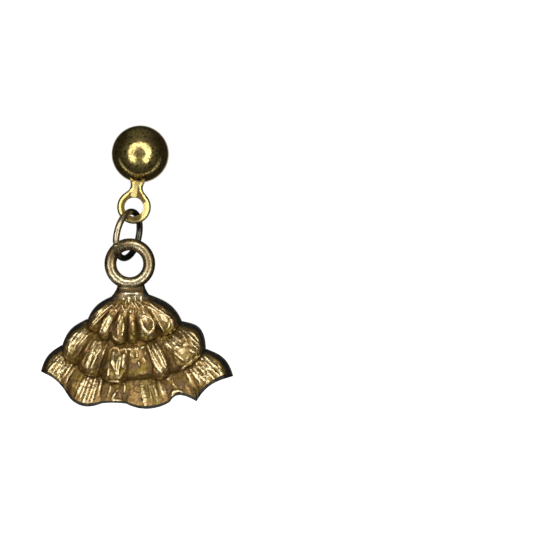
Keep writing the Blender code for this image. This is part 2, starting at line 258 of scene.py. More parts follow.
# Drop: the skirt's relief, worked out in millimetres about the point that its pleats fan out from
skirt = {
    "ringWire": 1.28, "ringInside": 2.8, "ringContact": radians(50), "jumpWire": 0.7, "gap": 0.12,
    "ringAboveBack": 1.5, "shift": 0.12, "collarHeight": 0.9, "top": 1.3, "length": 12.9, "depth": 3.3,
    "sideRim": 0.8, "sideRound": 0.95, "hemRound": 0.22, "dome": 0.2, "crest": 0.6, "tuckPower": 4,
    "foldSwell": 0.64, "foldPower": 0.9, "foldMiddle": 0.5, "tierStep": 0.05, "columns": 400, "tierRows": 62,
    # Chased lines, beads and fine pleats
    "lineSteps": 8, "lineWidth": 1.4, "lineHeight": 1.25, "taperStart": 0.12, "taperPower": 0.6,
    "leastWidth": 0.55, "beadPower": 0.8, "pleatHeight": 0.1, "pleatWidth": 0.24, "pleatBreak": 0.75,
    "seed": 11,
    # Uneven casting: size and depth of its lumps, and the cells that they fade over at the sides and the hem
    "lumps": ((0.5, 0.12), (0.2, 0.05), (0.11, 0.03)), "lumpFade": (12, 5),
    # Wear and painted light: each relief is a share with the rows and columns of its blur
    "reliefs": ((0.7, 2, 5), (0.3, 5, 14)), "contrast": 1.2, "patina": -0.058, "brightest": 0.3,
    # The dark rim and hem, and the shade below the tiers' bulges, are painted shade
    "deepest": -0.26, "blackened": -0.42, "blackRim": 0.14, "blackHem": 7, "hemShade": 0.11,
    "hemShadeFrom": (0.82, 0.14),
    "backPatina": -0.1, "backEdge": -0.01, "backTilt": 0.1,
    "hollowDepth": 1.2, "hollowStart": 3.4, "hollowReach": 1.25, "hollowSide": 1.15, "hollowRound": 1.6,
    "hollowCells": (24, 48),
}
# Edges in degrees either side of straight down: left top, swell and hem, then the same on the right.
# Heights and hems are shares of the skirt's depth and length. Gather is where down the tier its folds start to
# swell, over how much of it they grow and to what power, and on the flounce their share at its top.
# Each fold has its right end, its swell, and its hem in the middle and at that end.
tiers = [
    {"edges": (58, 6.5, 52, 60, 7, 55), "heights": (0.6, 0.84, 0.72), "flared": False,
     "gather": (0.22, 0.4, 2), "hem": 0.455, "folds": [
        (0.163, 0.9, 0.485, 0.47), (0.298, 0.9, 0.49, 0.465), (0.453, 1, 0.48, 0.455),
        (0.563, 0.6, 0.468, 0.452), (0.767, 1, 0.468, 0.472), (1, 0.9, 0.508, 0.5)]},
    {"edges": (53, 3.2, 49, 54.5, 5.8, 50), "heights": (0.64, 0.93, 0.78), "flared": False,
     "gather": (0, 0.6, 1), "hem": 0.75, "folds": [
        (0.158, 0.9, 0.79, 0.78), (0.312, 0.9, 0.806, 0.782), (0.475, 1, 0.8, 0.772),
        (0.62, 0.15, 0.772, 0.772), (0.738, 0.9, 0.798, 0.782), (1, 1, 0.806, 0.795)]},
    {"edges": (49.5, 2, 46.5, 49.5, 2.8, 48.3), "heights": (0.69, 0.86, 1), "flared": True,
     "gather": 0.35, "hem": 1.02, "folds": [
        (0.18, 0.9, 0.978, 1.03), (0.344, 0.9, 1.05, 0.988), (0.471, 0, 0.962, 0.962),
        (0.688, 0.8, 1.01, 1), (0.804, 0, 0.978, 1.085), (1, 0.9, 1.04, 1.116)]},
]
# Chased lines: angle in degrees and reach at the start, the bend and the end, then half-width and height
lines = [
    # Waist: thin lines at the far left, a matt leaf, an outlined oval, a heart and a leaf on the right
    (-43.3, 2.8, -47.5, 4.1, -44.8, 5.9, 0.13, 0.17), (-41.3, 3.2, -42, 4.5, -42.9, 5.8, 0.09, 0.14),
    (-50, 3.2, -54, 4.4, -51, 5.6, 0.09, 0.08), (-35.6, 3.8, -38.5, 4.9, -33.5, 5.9, 0.16, 0.17),
    (-31.5, 3.9, -31, 5, -30, 5.8, 0.24, 0.09), (-27.5, 4, -27.4, 4.8, -28, 5.6, 0.08, 0.08),
    (-22.5, 4.2, -25, 5.8, -13, 5.9, 0.12, 0.19), (-18, 4.3, -14.5, 5.1, -12.4, 5.8, 0.09, 0.13),
    (-9.6, 4.1, -8.2, 4.7, -9.2, 5.3, 0.14, 0.18), (-19.7, 3.2, -21.5, 3.7, -19.7, 4, 0.16, 0.09),
    (-14.5, 3.3, -12.5, 3.5, -10.5, 3.9, 0.12, 0.11), (14.8, 3.7, 15, 4.6, 20.5, 5.4, 0.24, 0.2),
    (20.5, 5.4, 29, 5.5, 34.5, 4.3, 0.19, 0.2), (17.5, 3.6, 25, 3.1, 32.5, 4.1, 0.08, 0.06),
    (46.8, 2.5, 49.5, 4.1, 51.4, 5.7, 0.12, 0.14), (40.5, 3.4, 38.6, 4.6, 35.6, 6, 0.1, 0.15),
    (35.6, 6, 41, 6.1, 46.4, 5.7, 0.13, 0.13), (36, 2.5, 40.5, 3.2, 44, 3.7, 0.13, 0.12),
    (42, 4.2, 45, 4.5, 48.5, 4.5, 0.12, 0.1),
    # Flame shapes under the collar
    (-17.5, 1.4, -15.6, 1.7, -14, 2.1, 0.13, 0.17), (1, 1.6, 6.2, 1.9, 13, 2.4, 0.11, 0.15),
    (12, 1.7, 17.2, 2, 20, 2.6, 0.11, 0.15), (24, 1.8, 30.2, 2.2, 31.5, 2.7, 0.12, 0.15),
    (-25, 2.2, -19.7, 2.4, -13, 2.8, 0.11, 0.13), (-41, 2, -38, 2.3, -35, 2.6, 0.13, 0.12),
    # Middle tier
    (-46.5, 6.5, -47, 7.5, -44.5, 8.6, 0.2, 0.14), (-43, 6.4, -43, 7.5, -42, 8.6, 0.14, 0.13),
    (-40.8, 6.4, -41, 7.4, -40.3, 8.4, 0.11, 0.12), (-46, 8.8, -43, 9.6, -40.5, 9.4, 0.17, 0.1),
    (-36, 6.9, -35, 7.6, -35, 8.4, 0.15, 0.1), (-32.5, 6.6, -32, 7, -32.5, 7.6, 0.15, 0.12),
    (-33, 8.5, -32.5, 9, -32, 9.6, 0.15, 0.1), (-28, 6.6, -32.5, 7.6, -28.5, 8.3, 0.15, 0.15),
    (-28, 6.6, -23, 7.4, -26.5, 8.3, 0.12, 0.12), (-28.7, 8, -29.5, 8.8, -28, 9.6, 0.25, 0.17),
    (-25.5, 8.2, -25, 9, -25.5, 9.7, 0.12, 0.1), (-22, 6.5, -21, 8.4, -20.5, 10.1, 0.13, 0.13),
    (-14.3, 7.2, -13.5, 8.2, -11, 8.9, 0.2, 0.16), (-9.4, 7.5, -9.4, 8.4, -9, 9.4, 0.13, 0.14),
    (-7.4, 7.5, -7.2, 8.4, -7.6, 9.4, 0.13, 0.14), (-5.2, 7.2, -4.6, 7.9, -5, 8.6, 0.17, 0.15),
    (-17.5, 7, -13, 6.2, -9, 7.1, 0.12, 0.1), (-9, 6.9, -5, 6.3, -2.6, 7.1, 0.12, 0.1),
    (16, 6.4, 15, 8.2, 20.5, 10, 0.18, 0.17), (18.3, 6.8, 17.8, 8, 20.8, 9.3, 0.09, 0.1),
    (20.6, 6.4, 20.2, 7, 21, 7.7, 0.14, 0.14), (22, 7.9, 22.5, 8.8, 23.5, 9.6, 0.15, 0.14),
    (23.2, 6.4, 26, 7.6, 24.6, 9.2, 0.13, 0.13), (28.3, 7.2, 28.4, 7.9, 29, 8.7, 0.12, 0.1),
    (32.5, 6.6, 32.3, 7.2, 33, 7.9, 0.17, 0.13), (36, 7, 36.5, 7.8, 38.2, 8.4, 0.21, 0.17),
    (34.2, 6.9, 34.4, 7.6, 35.4, 8.3, 0.09, 0.11), (38.3, 6.8, 38.8, 7.4, 40.3, 8.1, 0.1, 0.11),
    (30.3, 6.7, 30.2, 7.4, 30.8, 8.2, 0.1, 0.1), (40, 6.5, 40.6, 7.2, 42.6, 7.9, 0.18, 0.15),
    (45, 6.6, 49, 7.4, 45.4, 8.3, 0.14, 0.13), (49.8, 6.6, 50.2, 8, 49.2, 9.4, 0.13, 0.12),
    (41.5, 8.4, 43.5, 8.1, 45, 8.8, 0.16, 0.1), (29.5, 6.45, 38, 6.2, 47, 6.4, 0.13, 0.09),
    (33.4, 8.3, 33.8, 8.9, 35.2, 9.6, 0.14, 0.12), (42.8, 9.2, 43.4, 9.6, 44.2, 10, 0.16, 0.1),
    (46.4, 8.6, 46.8, 9.1, 46.6, 9.7, 0.13, 0.12), (-37.6, 8.4, -37.4, 9, -37.4, 9.7, 0.12, 0.12),
    (-14.5, 9, -13.8, 9.5, -13.5, 10, 0.13, 0.1),
    # Flounce: fine pleats in each gold panel
    (-44.3, 10.5, -44.2, 11.5, -44, 12.4, 0.15, 0.14), (-42.3, 10.3, -42.2, 11.3, -41.8, 12.3, 0.16, 0.15),
    (-40.4, 10.2, -40.2, 11, -40, 11.9, 0.15, 0.14), (-38.4, 10.6, -38.4, 11.4, -38, 12.2, 0.16, 0.15),
    (-36.5, 10.3, -36.2, 11.2, -36, 12, 0.15, 0.14), (-34.2, 10.5, -34, 11.4, -33.6, 12.2, 0.15, 0.12),
    (-26.4, 10.5, -26.2, 11.8, -25.8, 13.2, 0.17, 0.15), (-24.5, 10.4, -24.4, 11.6, -24, 12.8, 0.14, 0.14),
    (-22.5, 10.6, -22.2, 11.8, -22, 13.2, 0.17, 0.16), (-20.6, 10.4, -20.4, 11.6, -20, 12.8, 0.14, 0.14),
    (-18.8, 10.6, -18.6, 11.6, -18.2, 12.8, 0.15, 0.15), (-16.7, 10.4, -16.4, 11, -16, 11.9, 0.17, 0.14),
    (-12, 10.35, -8, 10.15, -3.2, 10.3, 0.13, 0.12), (-3.4, 10.3, -3.2, 10.7, -3.3, 11.2, 0.14, 0.14),
    (-11.5, 10.6, -11, 11.2, -11.5, 11.8, 0.12, 0.1), (-6.5, 10.9, -8, 11.4, -9.2, 12, 0.14, 0.12),
    (-8.5, 12.2, -5.5, 11.9, -3, 12.3, 0.18, 0.13), (6.6, 10.3, 7.2, 11.2, 7.4, 12.4, 0.26, 0.1),
    (13.4, 10.3, 13.6, 11, 13.9, 11.8, 0.2, 0.15), (10.3, 10.4, 10.5, 11.2, 10.8, 12.2, 0.12, 0.08),
    (16.6, 10.3, 16.6, 11.2, 16.9, 12.3, 0.15, 0.1), (20.3, 10.4, 21.2, 10.6, 22.3, 10.5, 0.15, 0.12),
    (20.3, 12.3, 22, 11.7, 26.3, 12.4, 0.18, 0.14), (24, 10.8, 23, 11.3, 24.5, 11.8, 0.12, 0.08),
    (32.3, 10.6, 32.2, 11.8, 32, 13, 0.2, 0.12), (35.4, 10.6, 35.6, 11.4, 35.8, 12.4, 0.16, 0.15),
    (37.7, 10.4, 37.6, 11.6, 38, 12.8, 0.16, 0.15), (39.9, 10.6, 40.1, 11.3, 40.4, 12.2, 0.15, 0.14),
    (41.8, 11.4, 41.8, 12.2, 42, 13.2, 0.15, 0.14), (44.2, 10.5, 44.4, 12, 44.6, 13.3, 0.13, 0.13),
    (46.3, 10.5, 46.5, 11.4, 46.7, 12.5, 0.13, 0.12), (-44.5, 11.2, -40, 11, -35.5, 10.9, 0.1, 0.11),
    (-44, 11.9, -40, 11.6, -35.5, 11.5, 0.1, 0.11), (31, 10.35, 38, 10.15, 45, 10.3, 0.09, 0.12),
    (33.2, 11.1, 35, 11.2, 36.6, 11.8, 0.12, 0.15), (38.4, 10.9, 39.8, 11.1, 40.9, 11.9, 0.12, 0.16),
    (36.6, 12.1, 38.4, 12, 40.4, 12.5, 0.14, 0.14), (41.6, 11.6, 43, 11.7, 44, 12.3, 0.16, 0.15),
]
# Chased beads and, below nought, hollows: angle, reach, half-width across and down, and height
beads = [
    (4.5, 4.5, 0.36, 0.9, 0.15), (-0.3, 2.7, 0.26, 0.3, 0.18), (45, 4.9, 0.55, 0.6, 0.1),
    (-30.5, 3, 0.18, 0.22, 0.12), (-1, 6.65, 0.26, 0.22, 0.16), (5, 6.6, 0.38, 0.27, 0.18),
    (11, 6.6, 0.3, 0.24, 0.16), (5.4, 7.3, 0.18, 0.36, 0.16), (6.4, 8.25, 0.18, 0.38, 0.14),
    (0, 7.2, 0.18, 0.34, 0.12), (12.5, 7.2, 0.2, 0.42, 0.12), (38, 8.7, 0.55, 0.45, 0.1),
    (2.5, 7.9, 0.4, 0.3, 0.06), (10.5, 7.9, 0.35, 0.45, 0.07), (9, 9.3, 0.6, 0.5, 0.05),
    (-43, 9.1, 0.3, 0.3, 0.08), (7, 11.6, 0.3, 0.45, 0.07), (21, 10.5, 0.2, 0.16, 0.08),
    (25.5, 4.5, 0.55, 0.7, -0.24), (-16.8, 5.1, 0.12, 0.5, -0.12), (-20, 9, 0.4, 1.1, -0.16),
    (30, 8.4, 0.3, 1.3, -0.12), (31.4, 5.6, 0.35, 0.6, -0.12), (12, 9, 0.3, 0.8, -0.06),
]

# Places that the fine pleats leave smooth: angle, reach, half-width across and down
calm = [
    (6, 8.9, 1.3, 1.2), (2, 11.7, 0.9, 1.3), (-33, 5, 0.6, 1), (4.5, 4.6, 0.5, 0.9), (38, 8.7, 0.7, 0.5),
    (27, 11, 1, 1), (44, 5.2, 0.7, 0.8), (13, 5.2, 0.7, 0.6), (-47, 8.9, 0.8, 0.6),
]

# Where wear has brought the gold through and, below nought, mostly painted shade in grooves, hollows and at the
# hem:
# angle, reach, half-width across and down, and how much
patches = [
    (-40, 11.3, 1.6, 1.3, 0.09), (-21.5, 11.8, 1.7, 1.7, 0.09), (8, 11.6, 1.2, 1.5, 0.02),
    (16.5, 11.2, 0.6, 1.1, 0.06), (39.5, 11.6, 2, 1.6, 0.09), (22, 12.2, 0.8, 0.5, 0.07),
    (-45, 7.5, 1, 1.1, 0.11), (-29, 7.5, 0.8, 1.1, 0.1), (-8, 8.3, 0.9, 1, 0.04), (4, 6.9, 1.2, 1, 0.1),
    (20, 8.2, 0.7, 1.6, 0.05), (36, 7.2, 1.6, 1, 0.12), (-33, 5, 0.7, 1.2, 0.08),
    (-50, 4.5, 0.6, 1.2, 0.06), (-15, 5.1, 0.7, 0.9, 0.05), (15, 5, 1, 0.9, 0.09), (32, 3.9, 0.9, 1.2, 0.1),
    (6, 2.1, 1.2, 0.6, 0.07), (-46, 4.3, 1.3, 2, 0.06), (47, 4.3, 1.4, 2, 0.06), (2, 3.2, 2.2, 1.2, 0.05),
    (-30, 5.8, 1.2, 0.8, 0.05), (8, 5.9, 1.6, 0.7, 0.05), (-12, 7.2, 1.2, 0.7, 0.05),
    (40, 9, 1.2, 0.9, 0.04), (-8, 10.4, 0.9, 0.4, 0.08), (-8, 12.1, 0.8, 0.4, 0.07),
    (24, 12.2, 0.8, 0.4, 0.06), (6.5, 11.2, 0.4, 1, 0.06), (-20, 9, 0.8, 1.4, -0.2),
    (-3, 5.2, 0.4, 1, -0.16), (31.4, 5.7, 0.45, 0.7, -0.18), (-9.5, 3.7, 0.35, 0.4, -0.18),
    (27.5, 4.6, 0.3, 0.3, -0.14), (4.5, 4.6, 0.5, 1, -0.08), (-26, 4.7, 0.2, 1, -0.12),
    (29.5, 8.4, 0.5, 1.5, -0.08), (27, 10.9, 0.7, 1, -0.12), (-39, 9.6, 0.5, 1, -0.14),
    (33, 13.6, 1, 1.1, -0.4), (-30, 13, 1.2, 0.9, -0.3), (-48, 9.6, 0.7, 0.6, -0.15),
]


def tierEdges(edges, down):
    swell = np.sin(pi * down)
    left = edges[0] + (edges[2] - edges[0]) * down + edges[1] * swell
    right = edges[3] + (edges[5] - edges[3]) * down + edges[4] * swell
    return -np.radians(left), np.radians(right)


def curve(start, middle, end, along):
    return (1 - along) * (1 - 2 * along) * start + 4 * along * (1 - along) * middle + along * (2 * along - 1) * end


def foldShares(tier, across):
    # For each column: how far across its fold it is, the fold's swell and its hem
    ends, swells, middles, hems = np.array(tier["folds"]).T
    starts, first = np.append(0, ends[:-1]), np.append(tier["hem"], hems[:-1])
    index = np.clip(np.searchsorted(starts, across, side="right") - 1, 0, len(ends) - 1)
    inside = rising(across, starts[index], (ends - starts)[index])
    return inside, swells[index], curve(first[index], middles[index], hems[index], inside) * skirt["length"]


def plainHeight(tier, down):
    top, crest, hem = (share * skirt["depth"] for share in tier["heights"])
    if tier["flared"]:
        return curve(top, crest, hem, down)
    swollen = top + (crest - top) * np.sin(pi / 2 * rising(down, 0, skirt["crest"]))
    return swollen - (crest - hem) * rising(down, skirt["crest"], 1 - skirt["crest"]) ** skirt["tuckPower"]


def gathered(tier, down):
    # How much of the folds' swell there is this far down
    if tier["flared"]:
        return tier["gather"] + (1 - tier["gather"]) * down
    start, width, power = tier["gather"]
    return np.sin(pi / 2 * rising(down, start, width)) ** power


def quarterRound(distance, width):
    return np.sqrt(1 - (1 - rising(distance, 0, width)) ** 2)


def shares(x, z, angle, reach, wide, tall):
    # From 1 at the spot's middle to 0 at its edge
    angle = radians(angle)
    out = (x * sin(angle) - z * cos(angle) - reach) / tall
    side = (x * cos(angle) + z * sin(angle)) / wide
    return np.clip(1 - out ** 2 - side ** 2, 0, 1)


def chase(x, z, height):
    # Adds the lines and beads, each rounded across and at its ends
    raised = np.zeros_like(x)
    least, taperStart = skirt["leastWidth"], skirt["taperStart"]
    for a0, r0, a1, r1, a2, r2, width, rise in lines:
        width *= skirt["lineWidth"]
        angles, reaches = np.radians((a0, a1, a2)), np.array((r0, r1, r2))
        corners = np.stack((reaches * np.sin(angles), -reaches * np.cos(angles)), axis=1)
        t = np.linspace(0, 1, skirt["lineSteps"] + 1)[:, None]
        line = (1 - t) ** 2 * corners[0] + 2 * t * (1 - t) * corners[1] + t ** 2 * corners[2]
        near = ((x > line[:, 0].min() - width) & (x < line[:, 0].max() + width)
                & (z > line[:, 1].min() - width) & (z < line[:, 1].max() + width))
        points = np.stack((x[near], z[near]), axis=1)
        closest, along = np.full(len(points), np.inf), np.zeros(len(points))
        for number, (start, end) in enumerate(zip(line[:-1], line[1:])):
            step = end - start
            share = np.clip((points - start) @ step / (step @ step), 0, 1)
            distance = np.linalg.norm(points - start - share[:, None] * step, axis=1)
            along = np.where(distance < closest, (number + share) / skirt["lineSteps"], along)
            closest = np.minimum(closest, distance)
        taper = np.sin(pi * (taperStart + (1 - 2 * taperStart) * along)) ** skirt["taperPower"]
        profile = np.clip(1 - (closest / (width * (least + (1 - least) * taper))) ** 2, 0, 1)
        raised[near] = np.maximum(raised[near], skirt["lineHeight"] * rise * taper * profile)
    for *spot, rise in beads:
        if rise > 0:
            bead = skirt["lineHeight"] * rise * shares(x, z, *spot) ** skirt["beadPower"]
            raised = np.maximum(raised, bead)
        else:
            height = height + rise * shares(x, z, *spot)
    return height + raised


def blurred(grid, rows, columns):
    # Three box blurs down and across, this many cells either way
    for size in (rows, columns) * 3:
        wide = np.pad(grid, ((size + 1, size), (0, 0)), mode="edge")
        sums = np.cumsum(wide, axis=0)
        grid = ((sums[2 * size + 1:] - sums[:-2 * size - 1]) / (2 * size + 1)).T
    return grid


def finePleats(tier, number, top, hem):
    # Uneven ridges running down the tier, a seeded grid of heights read smoothly
    rows, columns = skirt["tierRows"], skirt["columns"] + 1
    left, right = tierEdges(tier["edges"], 0.5)
    cells = int((right - left) * (top + hem) / 2 / skirt["pleatWidth"])
    breaks = int((hem - top) / skirt["pleatBreak"]) + 2
    heights = np.random.default_rng(skirt["seed"] + number).uniform(-1, 1, (breaks, cells))
    across, down = np.linspace(0, cells - 1, columns), np.linspace(0, breaks - 1, rows)
    heights = np.array([np.interp(across, np.arange(cells), row) for row in heights])
    heights = np.array([np.interp(down, np.arange(breaks), column) for column in heights.T]).T
    return skirt["pleatHeight"] * blurred(heights, 1, 1)


def reliefGrid():
    # Rows run from the collar down to the hem, tier by tier, and columns from left to right
    across = np.linspace(0, 1, skirt["columns"] + 1)
    down = np.linspace(0, 1, skirt["tierRows"])
    previousHem = np.full(len(across), skirt["top"] - skirt["tierStep"])
    xs, zs, heights, inwards, pleats = [], [], [], [], []
    for number, tier in enumerate(tiers):
        inside, swell, hem = foldShares(tier, across)
        puff = swell * (1 - (2 * inside - 1) ** 2) ** skirt["foldPower"] - skirt["foldMiddle"]
        top = previousHem + skirt["tierStep"]
        previousHem = hem
        pleats.append(finePleats(tier, number, top.mean(), hem.mean()))
        for share in down:
            left, right = tierEdges(tier["edges"], share)
            angle = left + (right - left) * across
            reach = top + (hem - top) * share
            height = plainHeight(tier, share) * (1 - skirt["dome"] * (2 * across - 1) ** 2)
            height += skirt["foldSwell"] * gathered(tier, share) * puff
            if tier["flared"] and share == 1:
                height -= skirt["hemRound"]
            xs.append(reach * np.sin(angle))
            zs.append(-reach * np.cos(angle))
            heights.append(height)
            side = np.minimum(across, 1 - across) * (right - left) * reach
            inwards.append(quarterRound(side, skirt["sideRound"]))
    x, z, height, inward = (np.array(grid) for grid in (xs, zs, heights, inwards))
    rough = np.ones_like(x)
    for spot in calm:
        rough = np.minimum(rough, 1 - shares(x, z, *spot) ** 0.5)
    height = chase(x, z, height) + np.vstack(pleats) * rough
    height = skirt["sideRim"] + (height - skirt["sideRim"]) * inward
    wearAndPaintedLight = sum(share * (height - blurred(height, rows, columns)) for share, rows, columns in skirt["reliefs"])
    wearAndPaintedLight = skirt["contrast"] * wearAndPaintedLight + skirt["patina"]
    # Patches above nought gild the relief, those below lay painted shade
    for *spot, gildAndShade in patches:
        wearAndPaintedLight = wearAndPaintedLight + gildAndShade * shares(x, z, *spot)
    # Painted shade below the bulge of the waist and the middle tier, a painted dark reflection round the steep rim
    # and painted shadow along the hem
    low = rising(np.tile(down, 2), *skirt["hemShadeFrom"])[:, None]
    wearAndPaintedLight[:len(low)] -= skirt["hemShade"] * low
    black = rising(1 - inward, 0, skirt["blackRim"])
    wearAndPaintedLight = np.maximum(wearAndPaintedLight, skirt["deepest"]) * (1 - black) + skirt["blackened"] * black
    wearAndPaintedLight[-skirt["blackHem"]:] = np.minimum(wearAndPaintedLight[-skirt["blackHem"]:], skirt["blackened"])
    return x, z, height, wearAndPaintedLight


ringRadius = (skirt["ringInside"] + skirt["ringWire"]) / 2
ringOuter = ringRadius + skirt["ringWire"] / 2
ringSeat = jumpFoot - hanging(
    -skirt["ringContact"], ((skirt["jumpWire"] + skirt["ringWire"]) / 2 + skirt["gap"]) * mm)
ringCentre = ringSeat + hanging(-skirt["ringContact"], ringRadius * mm)
fanPoint = Vector((
    ringCentre.x + skirt["shift"] * mm,
    hangPlane + skirt["ringAboveBack"] * mm,
    ringCentre.z + (skirt["top"] - ringOuter - skirt["collarHeight"]) * mm,
))


def gridToBlock(name, x, z, height, back):
    # A grid plane takes the relief, then its rim is drawn back flat and closed
    rows, columns = x.shape
    bpy.ops.mesh.primitive_grid_add(x_subdivisions=columns - 1, y_subdivisions=rows - 1, size=2)
    piece = newPiece(name)
    places = readPoints(piece)
    column = np.rint((places[:, 0] + 1) / 2 * (columns - 1)).astype(int)
    row = np.rint((1 - places[:, 1]) / 2 * (rows - 1)).astype(int)
    places = np.stack((x[row, column], -height[row, column], z[row, column]), axis=1)
    piece.data.vertices.foreach_set("co", places.ravel())
    focus(piece)
    editing(True)
    bpy.ops.mesh.select_mode(type="EDGE")
    bpy.ops.mesh.select_all(action="DESELECT")
    bpy.ops.mesh.select_non_manifold()
    bpy.ops.mesh.extrude_region_move()
    bpy.ops.transform.resize(value=(1, 0, 1), center_override=(0, back, 0))
    bpy.ops.mesh.edge_face_add()
    editing(False)
    faceOut(piece)
    return piece, row, column


def makeSkirt():
    x, z, height, wearAndPaintedLight = reliefGrid()
    piece, row, column = gridToBlock("skirt_casting", x, z, height, 0)
    values = np.full(len(piece.data.vertices), skirt["backPatina"])
    values[:len(row)] = wearAndPaintedLight[row, column]
    giveWearAndPaintedLight(piece, values)
    # Soft lumps, fading out towards the rim
    front = piece.vertex_groups.new(name="front")
    sideFade, hemFade = skirt["lumpFade"]
    aside = np.minimum(column, x.shape[1] - 1 - column) / sideFade
    inside = np.minimum(aside, (x.shape[0] - 1 - row) / hemFade)
    for index, weight in enumerate(np.clip(inside, 0, 1)):
        if weight > 0:
            front.add([index], float(weight), "REPLACE")
    for size, depth in skirt["lumps"]:
        lumps = bpy.data.textures.new("lumps", "CLOUDS")
        lumps.noise_scale = size
        lumps.noise_depth = 1
        applyModifier(piece, "DISPLACE", texture=lumps, strength=depth, mid_level=0.5, vertex_group="front")
    # Shallow scoop behind, open at the hem
    start = skirt["hollowStart"]
    down, across = (np.linspace(0, 1, cells + 1) for cells in skirt["hollowCells"])
    reach = start + (skirt["hollowReach"] * skirt["length"] - start) * down[:, None]
    left, right = tierEdges(tiers[2]["edges"], 0.5)
    inset = skirt["hollowSide"] / reach
    angle = left + inset + (right - left - 2 * inset) * across
    side = np.minimum(across, 1 - across) * (right - left - 2 * inset) * reach
    depth = skirt["hollowDepth"] * quarterRound(side, skirt["hollowRound"])
    depth = depth * quarterRound(reach - start, skirt["hollowRound"])
    scoop = gridToBlock("scoop", reach * np.sin(angle), -reach * np.cos(angle), depth, 1.0)[0]
    applyModifier(piece, "BOOLEAN", operation="DIFFERENCE", object=scoop, solver="EXACT")
    bpy.data.objects.remove(scoop)
    # The back and the scoop, whose points face backwards, take the back's patina
    values = np.empty(len(piece.data.vertices))
    piece.data.attributes["wearAndPaintedLight"].data.foreach_get("value", values)
    behind = readPoints(piece)[:, 1] > skirt["backEdge"]
    behind |= readPoints(piece, "normal")[:, 1] > skirt["backTilt"]
    values[behind] = skirt["backPatina"]
    values = np.clip(values, skirt["blackened"], skirt["brightest"])
    piece.data.attributes["wearAndPaintedLight"].data.foreach_set("value", values)
    piece.scale = (mm, mm, mm)
    piece.location = fanPoint
    settle(piece)
    smooth(piece, 60)
    # The flat back stays crisp
    for face in piece.data.polygons:
        if face.normal.y > 0.99 and abs(face.center.y - fanPoint.y) < 0.01 * mm:
            face.use_smooth = False
    return piece


# Drop: its ring and collar, cast in one with the skirt
neck = {
    "voxel": 0.055, "smoothing": 8, "middle": -1.45,
    # Below the wire's middle at the ring's foot: drop, width and depth
    "rows": ((0.0, 2.7, 1.0), (0.62, 3.1, 1.25), (0.8, 3.3, 1.45), (0.98, 3.5, 1.75), (1.12, 3.7, 1.8),
             (1.3, 4.0, 1.65), (1.54, 4.4, 1.7), (1.75, 4.8, 1.6), (2.0, 5.0, 1.3)),
    # Place and half-sizes of the small raised bars in front
    "bars": ((-1.0, -2.22, -14.62, 0.62, 0.2, 0.13), (-1.75, -2.1, -15.25, 0.12, 0.16, 0.3),
             (-1.25, -2.22, -15.35, 0.14, 0.18, 0.4), (-0.55, -2.24, -15.2, 0.13, 0.17, 0.3),
             (0.05, -2.12, -15.3, 0.12, 0.16, 0.36)),
    # Wear and painted light: where each shade starts or ends and the width that it changes over, then how much
    # each one adds
    "crease": (0.1, 0.3), "aside": (0.9, 0.5), "border": (0.75, 0.3), "borderLean": 0.3,
    "borderTurn": (-0.5, 1), "seat": (1.3, 0.6), "lowHighlight": (-0.5, 0.8), "glint": (1.2, 0.7),
    "glintPlace": (0.9, -0.5, 1.8), "barReach": 1.2,
    "levels": {"base": -0.01, "lowHighlight": 0.07, "seat": -0.13, "crease": -0.11, "aside": -0.32, "border": -0.4,
               "glint": 0.07, "bar": 0.07},
}


